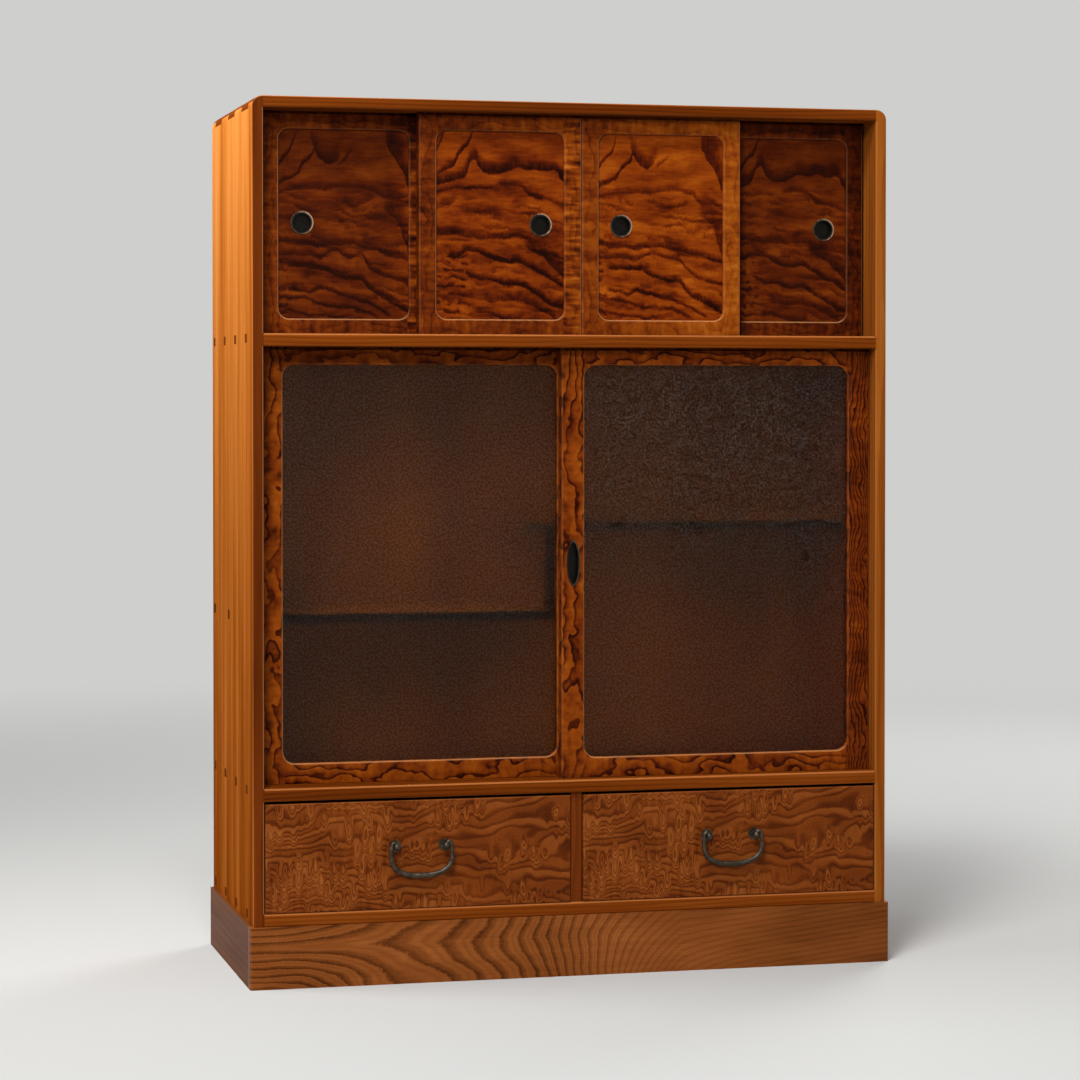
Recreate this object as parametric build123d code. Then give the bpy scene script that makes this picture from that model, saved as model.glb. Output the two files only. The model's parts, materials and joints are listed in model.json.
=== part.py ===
from build123d import *
import os

# Tea cabinet: a figured-ash case on a plinth, with four small sliding panel doors above, two sliding
# glass doors with a stepped shelf behind them, and two drawers with bail handles below.
# Millimetres. X runs to the right, Y to the back, Z up. The origin is on the floor, under the middle
# of the object's box.

# Case
case_width = 880.0
case_depth = 360.0
case_height = 1174.0
side_thickness = 15.0
top_thickness = 15.0
top_corner_radius = 14.0
outer_edge_round = 2.0
inner_edge_round = 2.8
finger_count = 3
finger_width_share = 0.5
back_thickness = 7.0
back_rabbet = 7.0
back_board_count = 3

# Heights of the front, from the floor up
plinth_height = 82.0
bottom_rail_height = 17.0
drawer_opening_height = 148.0
lower_rail_height = 17.0
glass_opening_height = 582.0
upper_rail_height = 17.0

# Rails and boards
rail_depth = 76.0
rail_top_round = 4.0
rail_low_round = 1.5
board_thickness = 12.0
board_housing = 5.0
tenon_width = 18.0
tenon_back_inset = 12.0
rail_tenon_inset = 22.0
board_tenon_inset = 72.0
board_tenon_count = 3

# Plinth
plinth_side_lip = 4.5
plinth_front_lip = 4.0
plinth_thickness = 18.0
plinth_corner_round = 4.0
corner_block_width = 28.0
corner_block_drop = 60.0

# Between and behind the drawers
post_width = 15.0
post_depth = 36.0
post_setback = 5.0
partition_thickness = 12.0
stop_width = 24.0
stop_height = 20.0
stop_depth = 32.2
stop_inset = 60.0

# Stepped shelf
step_thickness = 13.0
step_setback = 95.0
step_left_rise = 210.0
step_right_rise = 331.0
step_left_reach = 30.0
step_right_reach = 48.0
strut_width = 18.0
strut_depth = 50.0
strut_inset = 10.0
step_tenon_inset = 117.0

# Tracks of the sliding doors
door_thickness = 19.0
front_track_setback = 21.0
track_gap = 4.0
sill_groove_depth = 3.5
head_groove_depth = 8.0
tongue_thickness = 8.0
running_gap = 0.3
sill_shoulder_gap = 0.6
lift_room = 4.0
door_edge_round = 2.8
sight_round = 3.2
door_tenon_length = 14.0
door_tenon_thickness = 7.0
door_tenon_shoulder = 2.5
corner_ear = 2.0

# Upper doors
upper_door_overlap = 26.75
upper_stile = 24.0
upper_frame_rail = 20.0
upper_corner_radius = 14.0
panel_setback = 5.0
panel_thickness = 5.0
panel_groove = 6.0
outer_door_gap = 3.5
middle_pair_offset = 12.0
meeting_gap = 0.5

# Round finger pulls
pull_radius = 15.5
pull_cup_radius = 12.5
pull_wall = 1.0
pull_depth = 7.0
pull_proud = 1.0
pull_inset = 32.0

# Glass doors
glass_door_overlap = 31.6
glass_stile = 32.0
glass_low_rail = 27.0
glass_top_rail = 20.0
glass_corner_radius = 16.0
glass_lip = 8.0
glass_rabbet = 8.0
glass_thickness = 4.0
glass_door_gap = 0.8

# Oval finger pull
oval_width = 18.4
oval_length = 62.4
oval_flange = 2.0
oval_wall = 1.0
oval_depth = 8.0
oval_proud = 1.0

# Drawers
drawer_setback = 0.5
drawer_side_gap = 1.5
drawer_front_height = 144.0
drawer_front_thickness = 18.0
drawer_front_round = 1.5
drawer_lap = 11.0
drawer_wall = 10.0
drawer_wall_height = 126.0
drawer_bottom_thickness = 6.0
drawer_bottom_lift = 8.0
drawer_groove = 5.0

# Bail handles
post_spacing = 67.0
post_rise = 12.0
handle_stand = 12.0
post_ball_radius = 4.5
post_neck_radius = 3.4
post_shank_radius = 2.5
rosette_radius = 8.0
rosette_thickness = 1.5
clinch_radius = 4.5
clinch_thickness = 2.0
bail_radius = 2.5
bail_bend_radius = 3.2
bail_curl = 7.0
bail_drop = 41.0
bail_bow = 6.0
bail_corner_radius = 21.0
bail_bow_radius = 110.0

# How far a cutter reaches past the face that it opens
overrun = 20.0

# Levels and planes that several pieces share
outer_half = case_width / 2
inner_half = outer_half - side_thickness
upper_door_reach = inner_half - outer_door_gap
upper_door_width = (upper_door_reach + upper_door_overlap - meeting_gap / 2) / 2
glass_door_reach = inner_half - glass_door_gap
glass_door_width = glass_door_reach + glass_door_overlap / 2
drawer_floor = plinth_height + bottom_rail_height
drawer_head = drawer_floor + drawer_opening_height
glass_sill = drawer_head + lower_rail_height
glass_head = glass_sill + glass_opening_height
upper_sill = glass_head + upper_rail_height
upper_head = case_height - top_thickness
handle_reach = handle_stand + post_ball_radius - drawer_setback
front_y = (max(handle_reach, plinth_front_lip) - case_depth) / 2
back_y = front_y + case_depth
inside_back_y = back_y - back_thickness
rail_back_y = front_y + rail_depth
drawer_face_y = front_y + drawer_setback
drawer_end_y = inside_back_y - stop_depth - running_gap
front_track_y = front_y + front_track_setback
rear_track_y = front_track_y + door_thickness + track_gap
board_tops = (drawer_floor, glass_sill, upper_sill)


def around(middle, width):
    """The range of a width about its middle."""
    return (middle - width / 2, middle + width / 2)


def span(one, other):
    """Two ends of a range, lowest first."""
    return (min(one, other), max(one, other))


def block(xs, ys, zs):
    """A box between three ranges."""
    sizes = [high - low for low, high in (xs, ys, zs)]
    middles = [(high + low) / 2 for low, high in (xs, ys, zs)]
    return Pos(*middles) * Box(*sizes)


def plate(xs, zs, radius, ys):
    """A rounded rectangle as seen from the front, with the thickness of ys."""
    origin = ((xs[0] + xs[1]) / 2, ys[1], (zs[0] + zs[1]) / 2)
    plane = Plane(origin=origin, x_dir=(1, 0, 0), z_dir=(0, -1, 0))
    outline = plane * RectangleRounded(xs[1] - xs[0], zs[1] - zs[0], radius)
    return extrude(outline, ys[1] - ys[0])


def rod_along_x(xs, y, z, radius):
    """A round rod that lies along X."""
    return Pos((xs[0] + xs[1]) / 2, y, z) * Rot(0, 90, 0) * Cylinder(radius, xs[1] - xs[0])


def rod_along_y(x, ys, z, radius):
    """A round rod that lies along Y."""
    return Pos(x, (ys[0] + ys[1]) / 2, z) * Rot(90, 0, 0) * Cylinder(radius, ys[1] - ys[0])


def oval_along_y(x, ys, z, width, length):
    """An upright oval as seen from the front, with the depth of ys."""
    plane = Plane(origin=(x, ys[1], z), x_dir=(1, 0, 0), z_dir=(0, -1, 0))
    outline = plane * Ellipse(width / 2, length / 2)
    return extrude(outline, ys[1] - ys[0])


def upright_edge_round(x, side, zs):
    """What rounding takes off the upright front edge of a side board at x, whose wood lies on side."""
    radius = inner_edge_round
    xs = span(x - side * overrun, x + side * radius)
    corner = block(xs, (front_y - overrun, front_y + radius), zs)
    middle = (zs[0] + zs[1]) / 2
    return corner - Pos(x + side * radius, front_y + radius, middle) * Cylinder(radius, zs[1] - zs[0])


def level_edge_round(z, xs):
    """What rounding takes off the level front edge of the top's underside at z."""
    radius = inner_edge_round
    corner = block(xs, (front_y - overrun, front_y + radius), (z - overrun, z + radius))
    return corner - rod_along_x(xs, front_y + radius, z + radius, radius)


def save(name, *shapes):
    """Writes one node: a single solid, or a group of separate solids."""
    solids = [solid for shape in shapes for solid in shape.solids()]
    piece = solids[0] if len(solids) == 1 else Compound(solids)
    export_step(piece, f"parts/{name}.step")


# Case


def case_blank():
    """The outside of the case as one block, with its round top corners and softened front edge."""
    zs = (plinth_height - overrun - top_corner_radius, case_height)
    blank = plate((-outer_half, outer_half), zs, top_corner_radius, (front_y, back_y))
    front_edges = blank.faces().sort_by(Axis.Y)[0].edges()
    return fillet(front_edges, outer_edge_round)


def top_fingers(side):
    """The parts of the top that go through one side board."""
    pitch = case_depth / finger_count
    xs = span(side * inner_half, side * (outer_half + overrun))
    zs = (upper_head, case_height + overrun)
    middles = [front_y + pitch * (number + 1 / 2) for number in range(finger_count)]
    return [block(xs, around(middle, pitch * finger_width_share), zs) for middle in middles]


def rail_blank(zs):
    """A front rail with a softened upper and lower front edge, and a tenon through each side."""
    rail = block((-inner_half, inner_half), (front_y, rail_back_y), zs)
    front_edges = rail.edges().filter_by(Axis.X).group_by(Axis.Y)[0].sort_by(Axis.Z)
    rail = fillet(front_edges[1], rail_top_round)
    front_edges = rail.edges().filter_by(Axis.X).group_by(Axis.Y)[0].sort_by(Axis.Z)
    rail = fillet(front_edges[0], rail_low_round)
    tenon_ys = around(rail_back_y - rail_tenon_inset, tenon_width)
    return rail + block((-outer_half, outer_half), tenon_ys, (zs[1] - board_thickness, zs[1]))


def track_grooves(z_low, z_high):
    """The two grooves of a sill or a head, between two heights."""
    width = tongue_thickness + 2 * running_gap
    middles = [track_y + door_thickness / 2 for track_y in (front_track_y, rear_track_y)]
    xs = (-inner_half, inner_half)
    return [block(xs, around(middle, width), (z_low, z_high)) for middle in middles]


def shelf_board(top):
    """A board behind a rail, housed in both sides with tenons through them, its top at the rail's top."""
    reach = inner_half + board_housing
    zs = (top - board_thickness, top)
    first = rail_back_y + board_tenon_inset
    last = inside_back_y - tenon_back_inset
    step = (last - first) / (board_tenon_count - 1)
    board = block((-reach, reach), (rail_back_y, inside_back_y), zs)
    for number in range(board_tenon_count):
        board += block((-outer_half, outer_half), around(first + step * number, tenon_width), zs)
    return board


def step_shelf(side, rise, reach):
    """One board of the stepped shelf, from past the middle to two tenons through a side."""
    ys = (front_y + step_setback, inside_back_y)
    zs = (glass_sill + rise, glass_sill + rise + step_thickness)
    board = block(span(side * inner_half, -side * reach), ys, zs)
    for middle in (ys[0] + step_tenon_inset, ys[1] - tenon_back_inset):
        board += block(span(side * inner_half, side * outer_half), around(middle, tenon_width), zs)
    return board


def back_panel():
    """The whole back, which fills the rabbets of the sides and the top."""
    half = inner_half + back_rabbet
    return block((-half, half), (inside_back_y, back_y), (plinth_height, upper_head + back_rabbet))


def side_board(side, blank, fingers, inserts, back):
    """One side, with its finger sockets, the mortises and housings of what goes into it, and its rabbet."""
    xs = span(side * inner_half, side * outer_half)
    board = blank & block(xs, (front_y, back_y), (plinth_height, case_height))
    for piece in (*fingers, *inserts, back):
        board -= piece
    openings = ((drawer_floor, drawer_head), (glass_sill, glass_head), (upper_sill, upper_head))
    for zs in openings:
        board -= upright_edge_round(side * inner_half, side, zs)
    return board


def top_board(blank, fingers, back):
    """The top, with its fingers, its two head grooves and the rabbet for the back."""
    xs = (-inner_half, inner_half)
    shape = block(xs, (front_y, back_y), (upper_head, case_height + overrun))
    for finger in fingers:
        shape += finger
    board = blank & shape
    board -= back
    board -= level_edge_round(upper_head, xs)
    for groove in track_grooves(upper_head - overrun, upper_head + head_groove_depth):
        board -= groove
    return board


def back_boards(back):
    """The back split into upright boards."""
    half = inner_half + back_rabbet
    width = 2 * half / back_board_count
    ys = (inside_back_y, back_y)
    zs = (plinth_height, upper_head + back_rabbet)
    lows = [width * number - half for number in range(back_board_count)]
    return [back & block((low, low + width), ys, zs) for low in lows]


def build_case():
    """The fixed boards of the case and the stepped shelf behind the glass."""
    blank = case_blank()
    back = back_panel()
    bottom_rail = rail_blank((plinth_height, drawer_floor))
    lower_rail = rail_blank((drawer_head, glass_sill))
    upper_rail = rail_blank((glass_head, upper_sill))
    for groove in track_grooves(glass_sill - sill_groove_depth, glass_sill + overrun):
        lower_rail -= groove
    for groove in track_grooves(upper_sill - sill_groove_depth, upper_sill + overrun):
        upper_rail -= groove
    for groove in track_grooves(glass_head - overrun, glass_head + head_groove_depth):
        upper_rail -= groove
    rails = [bottom_rail, lower_rail, upper_rail]
    boards = [shelf_board(top) for top in board_tops]
    steps = [
        step_shelf(-1, step_left_rise, step_left_reach),
        step_shelf(1, step_right_rise, step_right_reach),
    ]
    fingers = {side: top_fingers(side) for side in (-1, 1)}
    for side, name in ((-1, "left_side_panel"), (1, "right_side_panel")):
        save(name, side_board(side, blank, fingers[side], rails + boards + steps, back))
    save("top_panel", top_board(blank, fingers[-1] + fingers[1], back))
    save("back_boards", *back_boards(back))
    rail_names = ("bottom_rail", "lower_track_rail", "upper_track_rail")
    board_names = ("bottom_board", "lower_shelf_board", "upper_shelf_board")
    step_names = ("step_shelf_left", "step_shelf_right")
    for name, piece in zip(rail_names + board_names + step_names, rails + boards + steps):
        save(name, piece)
    strut_xs = around((step_left_reach - step_right_reach) / 2, strut_width)
    strut_y = front_y + step_setback + strut_inset
    strut_zs = (glass_sill + step_left_rise + step_thickness, glass_sill + step_right_rise)
    save("step_shelf_strut", block(strut_xs, (strut_y, strut_y + strut_depth), strut_zs))


def build_plinth():
    """The plinth that the case stands on: four boards on edge and glue blocks in the corners."""
    zs = (0, plinth_height)
    half = outer_half + plinth_side_lip
    inside = half - plinth_thickness
    lip_y = front_y - plinth_front_lip
    front_back_y = lip_y + plinth_thickness
    back_front_y = back_y - plinth_thickness
    front = block((-half, half), (lip_y, front_back_y), zs)
    front = fillet(front.edges().filter_by(Axis.Z).group_by(Axis.Y)[0], plinth_corner_round)
    save("plinth_front", front)
    sides = [block(span(side * inside, side * half), (front_back_y, back_y), zs) for side in (-1, 1)]
    save("plinth_sides", *sides)
    save("plinth_back", block((-inside, inside), (back_front_y, back_y), zs))
    block_ys = (
        (front_back_y, front_back_y + corner_block_width),
        (back_front_y - corner_block_width, back_front_y),
    )
    block_zs = (plinth_height - corner_block_drop, plinth_height)
    block_xs = [span(side * inside, side * (inside - corner_block_width)) for side in (-1, 1)]
    save("plinth_corner_blocks", *[block(xs, ys, block_zs) for xs in block_xs for ys in block_ys])


def build_drawer_housing():
    """The post and partition between the drawers, and the stops behind them."""
    post_ys = (front_y + post_setback, front_y + post_setback + post_depth)
    save("drawer_divider_post", block(around(0, post_width), post_ys, (drawer_floor, drawer_head)))
    partition_xs = around(0, partition_thickness)
    board_underside = glass_sill - board_thickness
    partition = block(partition_xs, (post_ys[1], rail_back_y), (drawer_floor, drawer_head))
    partition += block(partition_xs, (rail_back_y, inside_back_y), (drawer_floor, board_underside))
    save("drawer_partition", partition)
    stop_ys = (inside_back_y - stop_depth, inside_back_y)
    stop_zs = (drawer_floor, drawer_floor + stop_height)
    middles = [side * place for side in (-1, 1) for place in (stop_inset, inner_half - stop_inset)]
    save("drawer_stops", *[block(around(middle, stop_width), stop_ys, stop_zs) for middle in middles])


# Sliding doors


def sight_ranges(xs, sill, head, stile, low_rail, top_rail):
    """Where a door's frame opens: its ranges along X and Z."""
    low = sill + sill_shoulder_gap + low_rail
    high = head - lift_room - top_rail
    return (xs[0] + stile, xs[1] - stile), (low, high)


def frame_joints(sight_xs):
    """Where the rails meet the stiles: a little inside the sight, so that no rail ends in a feather edge."""
    return (sight_xs[0] + corner_ear, sight_xs[1] - corner_ear)


def door_frame(xs, track_y, sill, head, sight, corner_radius, groove_depth):
    """A door's frame as two stiles and two rails, tenoned together, with tongues above and below."""
    sight_xs, sight_zs = sight
    joint_xs = frame_joints(sight_xs)
    ys = (track_y, track_y + door_thickness)
    zs = (sill + sill_shoulder_gap, head - lift_room)
    middle_y = track_y + door_thickness / 2
    blank = block(xs, ys, zs)
    blank = fillet(blank.edges().filter_by(Axis.Z).group_by(Axis.Y)[0], door_edge_round)
    blank -= plate(sight_xs, sight_zs, corner_radius, (ys[0] - overrun, ys[1] + overrun))
    sight_edges = blank.faces().sort_by(Axis.Y)[0].inner_wires()[0].edges()
    blank = fillet(sight_edges, sight_round)
    tongue_ys = around(middle_y, tongue_thickness)
    blank += block(xs, tongue_ys, (sill - sill_groove_depth + running_gap, zs[0]))
    blank += block(xs, tongue_ys, (zs[1], head + lift_room))
    tenons = []
    tenon_ranges = (
        (zs[0] + door_tenon_shoulder, sight_zs[0] - groove_depth - door_tenon_shoulder),
        (sight_zs[1] + groove_depth + door_tenon_shoulder, zs[1] - door_tenon_shoulder),
    )
    for tenon_zs in tenon_ranges:
        for joint_x, side in zip(joint_xs, (-1, 1)):
            tenon_xs = span(joint_x, joint_x + side * door_tenon_length)
            tenons.append(block(tenon_xs, around(middle_y, door_tenon_thickness), tenon_zs))
    between = block(joint_xs, (ys[0] - overrun, ys[1] + overrun), (sill - overrun, head + overrun))
    stiles = blank - between
    rails = blank & between
    for tenon in tenons:
        stiles -= tenon
        rails += tenon
    return stiles, rails


def grown(sight, amount):
    """A sight opening made larger all round."""
    return [(low - amount, high + amount) for low, high in sight]


def round_pull(x, panel_y, z):
    """A round finger cup: a rim on the panel, and a cup let into it."""
    rim = rod_along_y(x, (panel_y - pull_proud, panel_y), z, pull_radius)
    cup = rod_along_y(x, (panel_y, panel_y + pull_depth), z, pull_cup_radius)
    hollow_ys = (panel_y - pull_proud, panel_y + pull_depth - pull_wall)
    return rim + cup - rod_along_y(x, hollow_ys, z, pull_cup_radius - pull_wall)


def build_upper_door(number, x_low, track_y, pull_side):
    """One upper door: frame, figured panel and finger pull."""
    xs = (x_low, x_low + upper_door_width)
    sight = sight_ranges(xs, upper_sill, upper_head, upper_stile, upper_frame_rail, upper_frame_rail)
    stiles, rails = door_frame(
        xs, track_y, upper_sill, upper_head, sight, upper_corner_radius, panel_groove
    )
    panel_ys = (track_y + panel_setback, track_y + panel_setback + panel_thickness)
    panel_xs, panel_zs = grown(sight, panel_groove)
    panel = plate(panel_xs, panel_zs, upper_corner_radius + panel_groove, panel_ys)
    pull_x = sight[0][0] + pull_inset if pull_side < 0 else sight[0][1] - pull_inset
    pull_z = (upper_sill + upper_head) / 2
    cup_ys = (panel_ys[0], panel_ys[0] + pull_depth)
    name = f"upper_door_{number}"
    save(f"{name}_stiles", stiles - panel)
    save(f"{name}_rails", rails - panel)
    save(f"{name}_panel", panel - rod_along_y(pull_x, cup_ys, pull_z, pull_cup_radius))
    save(f"{name}_pull", round_pull(pull_x, panel_ys[0], pull_z))


def build_upper_doors():
    """The outer two doors run in the rear track and the middle two, which meet, in the front track."""
    build_upper_door(1, -upper_door_reach, rear_track_y, -1)
    build_upper_door(2, middle_pair_offset - meeting_gap / 2 - upper_door_width, front_track_y, 1)
    build_upper_door(3, middle_pair_offset + meeting_gap / 2, front_track_y, -1)
    build_upper_door(4, upper_door_reach - upper_door_width, rear_track_y, 1)


def oval_cup(x, face_y, z):
    """The parts of an oval finger cup that stand on the stile and in it, and its hollow."""
    flange = oval_along_y(x, (face_y - oval_proud, face_y), z, oval_width, oval_length)
    width = oval_width - 2 * oval_flange
    length = oval_length - 2 * oval_flange
    cup = oval_along_y(x, (face_y, face_y + oval_depth), z, width, length)
    hollow_ys = (face_y - oval_proud, face_y + oval_depth - oval_wall)
    hollow = oval_along_y(x, hollow_ys, z, width - 2 * oval_wall, length - 2 * oval_wall)
    return flange, cup, hollow


def build_glass_door(name, x_low, track_y, has_pull):
    """One glass door: frame, pane held by four beads, and a finger pull on its left stile if it has one."""
    xs = (x_low, x_low + glass_door_width)
    sight = sight_ranges(xs, glass_sill, glass_head, glass_stile, glass_low_rail, glass_top_rail)
    stiles, rails = door_frame(
        xs, track_y, glass_sill, glass_head, sight, glass_corner_radius, glass_rabbet
    )
    back = track_y + door_thickness
    lip_y = track_y + glass_lip
    bead_y = lip_y + glass_thickness
    outline = (*grown(sight, glass_rabbet), glass_corner_radius + glass_rabbet)
    rabbet = plate(*outline, (lip_y, back + overrun))
    stiles -= rabbet
    ring = plate(*outline, (bead_y, back)) - plate(*sight, glass_corner_radius, (bead_y, back))
    between = block(frame_joints(sight[0]), (bead_y, back), (glass_sill, glass_head))
    if has_pull:
        place = (x_low + glass_stile / 2, track_y, (glass_sill + glass_head) / 2)
        flange, cup, hollow = oval_cup(*place)
        stiles -= cup
        save(f"{name}_pull", flange + cup - hollow)
    save(f"{name}_stiles", stiles)
    save(f"{name}_rails", rails - rabbet)
    save(f"{name}_pane", plate(*outline, (lip_y, bead_y)))
    save(f"{name}_beads", ring - between, ring & between)


def build_glass_doors():
    """The left glass door runs in the rear track and the right one in the front track."""
    build_glass_door("glass_door_left", -glass_door_reach, rear_track_y, False)
    build_glass_door("glass_door_right", glass_door_reach - glass_door_width, front_track_y, True)


# Drawers


def handle_post(x, face_y, z):
    """One post of a handle: a rosette, a ball with a cross hole, and a shank clinched inside the drawer."""
    pivot_y = face_y - handle_stand
    inside_y = face_y + drawer_front_thickness
    rosette_y = face_y - rosette_thickness
    post = rod_along_y(x, (rosette_y, face_y), z, rosette_radius)
    post += rod_along_y(x, (pivot_y, rosette_y), z, post_neck_radius)
    post += Pos(x, pivot_y, z) * Rot(0, 90, 0) * Sphere(post_ball_radius)
    post += rod_along_y(x, (face_y, inside_y), z, post_shank_radius)
    post += rod_along_y(x, (inside_y, inside_y + clinch_thickness), z, clinch_radius)
    return post - rod_along_x(around(x, 2 * rosette_radius), pivot_y, z, bail_radius + running_gap)


def bail(x, pivot_y, z):
    """The bail: a bent rod whose ends pass through the posts and curl up inside them."""
    bend = post_ball_radius + running_gap + bail_bend_radius
    curl_x = post_spacing / 2 - bend
    arm_x = post_spacing / 2 + bend
    half = [(curl_x, bail_curl), (curl_x, 0), (arm_x, 0), (arm_x, bail_bow - bail_drop)]
    points = [(x - across, pivot_y, z + up) for across, up in half]
    points.append((x, pivot_y, z - bail_drop))
    points += [(x + across, pivot_y, z + up) for across, up in reversed(half)]
    side_radii = [bail_bend_radius, bail_bend_radius, bail_corner_radius]
    path = FilletPolyline(*points, radius=[*side_radii, bail_bow_radius, *reversed(side_radii)])
    return sweep(Plane(origin=path @ 0, z_dir=path % 0) * Circle(bail_radius), path=path)


def build_drawer(name, side):
    """One drawer with its handle."""
    opening = span(side * inner_half, side * post_width / 2)
    xs = (opening[0] + drawer_side_gap, opening[1] - drawer_side_gap)
    inside_xs = (xs[0] + drawer_wall, xs[1] - drawer_wall)
    floor_z = drawer_floor + running_gap
    front_back_y = drawer_face_y + drawer_front_thickness
    wall_zs = (floor_z, floor_z + drawer_wall_height)
    bottom_zs = (floor_z + drawer_bottom_lift, floor_z + drawer_bottom_lift + drawer_bottom_thickness)

    front = block(xs, (drawer_face_y, front_back_y), (floor_z, floor_z + drawer_front_height))
    front = fillet(front.faces().sort_by(Axis.Y)[0].edges(), drawer_front_round)
    wall_ys = (drawer_face_y + drawer_lap, drawer_end_y)
    walls = [block(wall_xs, wall_ys, wall_zs) for wall_xs in ((xs[0], inside_xs[0]), (inside_xs[1], xs[1]))]
    bottom_xs = (inside_xs[0] - drawer_groove, inside_xs[1] + drawer_groove)
    bottom = block(bottom_xs, (front_back_y - drawer_groove, drawer_end_y), bottom_zs)
    back = block(inside_xs, (drawer_end_y - drawer_wall, drawer_end_y), (bottom_zs[1], wall_zs[1]))

    middle_x = (xs[0] + xs[1]) / 2
    post_z = floor_z + drawer_front_height / 2 + post_rise
    posts = [handle_post(x, drawer_face_y, post_z) for x in around(middle_x, post_spacing)]
    for piece in (*walls, bottom, *posts):
        front -= piece

    save(f"drawer_{name}_front", front)
    save(f"drawer_{name}_sides", *[wall - bottom for wall in walls])
    save(f"drawer_{name}_back", back)
    save(f"drawer_{name}_bottom", bottom)
    save(f"handle_{name}_posts", *posts)
    save(f"handle_{name}_bail", bail(middle_x, drawer_face_y - handle_stand, post_z))


os.makedirs("parts", exist_ok=True)
build_case()
build_plinth()
build_drawer_housing()
build_upper_doors()
build_glass_doors()
build_drawer("left", -1)
build_drawer("right", 1)
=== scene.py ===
import json
from math import radians

import bpy
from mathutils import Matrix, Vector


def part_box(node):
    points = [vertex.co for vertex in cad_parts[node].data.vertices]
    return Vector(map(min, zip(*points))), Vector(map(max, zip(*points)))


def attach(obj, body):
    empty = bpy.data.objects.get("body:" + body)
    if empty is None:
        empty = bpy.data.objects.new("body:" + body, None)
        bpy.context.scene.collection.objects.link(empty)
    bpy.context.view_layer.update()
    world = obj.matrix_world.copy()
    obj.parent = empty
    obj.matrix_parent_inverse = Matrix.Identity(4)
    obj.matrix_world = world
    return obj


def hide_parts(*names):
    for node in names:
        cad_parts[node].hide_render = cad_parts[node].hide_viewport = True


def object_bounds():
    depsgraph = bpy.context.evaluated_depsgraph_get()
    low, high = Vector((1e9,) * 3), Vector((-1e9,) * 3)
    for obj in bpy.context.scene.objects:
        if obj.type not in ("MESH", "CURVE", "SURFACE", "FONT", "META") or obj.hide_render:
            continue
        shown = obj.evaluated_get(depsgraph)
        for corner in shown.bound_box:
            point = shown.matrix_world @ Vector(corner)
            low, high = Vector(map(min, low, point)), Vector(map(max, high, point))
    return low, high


# Looks of the tea cabinet: a node material for each kind of wood, glass and metal, forged bails,
# a pale floor, soft lamps and the photograph's camera. Metres, in the frame of the CAD model,
# with X to the right, Y to the back and Z up.

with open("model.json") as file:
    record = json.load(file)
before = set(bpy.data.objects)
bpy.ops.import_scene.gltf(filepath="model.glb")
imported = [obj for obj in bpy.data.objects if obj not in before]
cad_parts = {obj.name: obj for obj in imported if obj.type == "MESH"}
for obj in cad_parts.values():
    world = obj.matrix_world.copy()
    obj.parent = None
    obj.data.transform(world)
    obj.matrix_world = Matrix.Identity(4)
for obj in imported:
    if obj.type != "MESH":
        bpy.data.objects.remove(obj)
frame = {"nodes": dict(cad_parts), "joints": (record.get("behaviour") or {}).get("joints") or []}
cad_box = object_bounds()
nodes = frame["nodes"]

axis_x = 0
axis_y = 1
axis_z = 2
sides = ("left", "right")

# Camera, fitted to corners of the case in the photograph: angles in degrees, lens in millimetres
camera_place = (-1.07829, -4.23560, 0.77607)
camera_yaw = 14.180
camera_pitch = -1.109
camera_lens = 104.29
camera_shift = -0.0741

# Lamps: name, place, diameter and power in watts
lamps = (
    ("key", (-1.7, -3.4, 2.6), 1.0, 88.0),
    ("side", (-1.15, 0.0, 1.75), 0.6, 16.0),
    ("top", (-0.9, -1.8, 3.8), 1.2, 110.0),
    ("back", (2.4, 2.7, 2.4), 2.0, 100.0),
)

# World and floor
world_light = 0.28
pale_backdrop = "cfcfcd"
pale_floor = "bcbcba"
floor_fleck = "c4c4c2"
floor_radius = 5.0
floor_corners = 96
floor_fade = (0.22 * floor_radius, 0.9 * floor_radius)

# Colours of the woods from dark to pale, each with its place on a scale from 0 to 1
# honey colours the outside of the sides: paler than front_edge, partly as painted light on the sides
honey = ((0.12, "5d270a"), (0.38, "944a12"), (0.62, "ba6c29"), (0.95, "d58c47"))
# bright_edge, on the right side's inner face and front edge, is paler than front_edge partly as painted light
bright_edge = ((0.12, "4e2008"), (0.4, "7a3c10"), (0.65, "925018"), (0.95, "b87434"))
front_edge = ((0.12, "3d1604"), (0.4, "5f290a"), (0.65, "73340e"), (0.95, "934e21"))
case_tones = ((0.12, "3d1604"), (0.38, "612a07"), (0.62, "78390d"), (0.95, "995623"))
plain_tones = ((0.1, "6e4520"), (0.4, "9d6d3b"), (0.65, "b98a55"), (0.95, "cda06a"))
panel_tones = ((0.0, "1c0501"), (0.28, "3f1102"), (0.5, "5f2003"), (0.72, "803505"), (1.0, "a2520d"))
inner_tones = ((0.1, "583212"), (0.4, "885020"), (0.65, "a3682d"), (0.95, "bc8142"))
frame_tones = ((0.05, "220601"), (0.3, "471703"), (0.5, "682905"), (0.75, "8a4109"), (1.0, "a55b18"))
drawer_tones = ((0.1, "3d1604"), (0.4, "5b2709"), (0.6, "6f340e"), (0.95, "904f1f"))
plinth_side_tones = ((0.1, "2f1406"), (0.4, "582e11"), (0.65, "6c3b18"), (0.95, "855025"))
plinth_tones = ((0.1, "391807"), (0.4, "6a3714"), (0.65, "82471d"), (0.95, "a0602d"))
tenon_tones = ((0.2, "5a2a0c"), (0.9, "6a3210"))

# Colours of end grain, and of rounded edges where the lacquer is thin and a highlight is painted
side_trim = ("5a2c0c", "c08a5c")
post_trim = ("3a1606", "8a4a20")
rail_trim = ("6a3210", "b8713c")
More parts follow.
